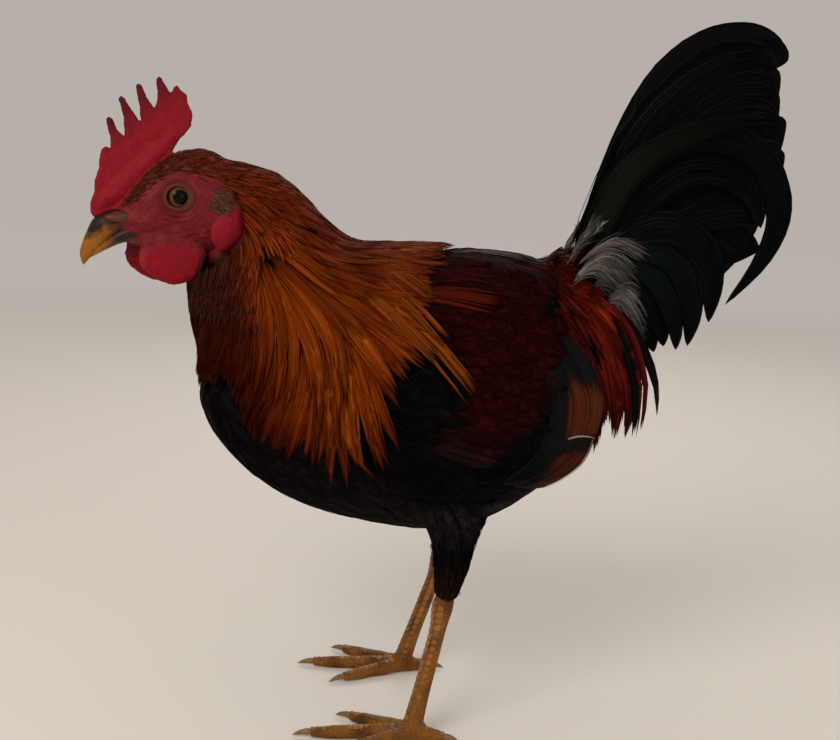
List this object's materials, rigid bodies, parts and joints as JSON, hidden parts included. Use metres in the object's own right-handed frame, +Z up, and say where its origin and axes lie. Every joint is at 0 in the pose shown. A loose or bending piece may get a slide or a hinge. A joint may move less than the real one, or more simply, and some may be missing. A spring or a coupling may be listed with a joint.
{
  "type": "spanish game cock model",
  "caption": "Life-size standing cockerel with single comb, wattles, long hackle and saddle feathers, folded wings and a high arched tail.",
  "frame": {"origin": "bottom centre of the bird's bounding box, on the floor that its soles rest on", "axes": "+Z up, -X the way the breast faces, +Y the bird's right side"},
  "size_m": [0.3204, 0.1208, 0.3326],
  "materials": {
    "beak_horn": "yellow-brown horn with a dark ridge, smooth",
    "body_plumage": "black feathers with a faint sheen",
    "claw_horn": "horn-coloured claws, smooth",
    "comb_skin": "crimson granular skin, soft satin",
    "eye_amber": "amber iris with a dark pupil, wet gloss",
    "face_skin": "bare red skin, finely wrinkled, soft satin",
    "hackle_plumage": "rust to golden orange feathers with dark red tips",
    "leg_scales": "yellow scutes with a reddish tint",
    "saddle_plumage": "rust-red narrow feathers",
    "tail_plumage": "black feathers with a green gloss",
    "wing_plumage": "maroon wing bow, black bar and bay flight feathers"
  },
  "bodies": {
    "root": {"beak_lower": "beak_horn", "beak_upper": "beak_horn", "claw_hind_left": "claw_horn", "claw_hind_right": "claw_horn", "claw_inner_left": "claw_horn", "claw_inner_right": "claw_horn", "claw_middle_left": "claw_horn", "claw_middle_right": "claw_horn", "claw_outer_left": "claw_horn", "claw_outer_right": "claw_horn", "comb": "comb_skin", "earlobe_left": "comb_skin", "earlobe_right": "comb_skin", "eye_left": "eye_amber", "eye_right": "eye_amber", "foot_left": "leg_scales", "foot_right": "leg_scales", "head": "face_skin", "neck": "hackle_plumage", "saddle": "saddle_plumage", "shank_left": "leg_scales", "shank_right": "leg_scales", "tail": "tail_plumage", "thigh_left": "body_plumage", "thigh_right": "body_plumage", "torso": "body_plumage", "wattle_left": "comb_skin", "wattle_right": "comb_skin", "wing_left": "wing_plumage", "wing_right": "wing_plumage"}
  },
  "joints": []
}
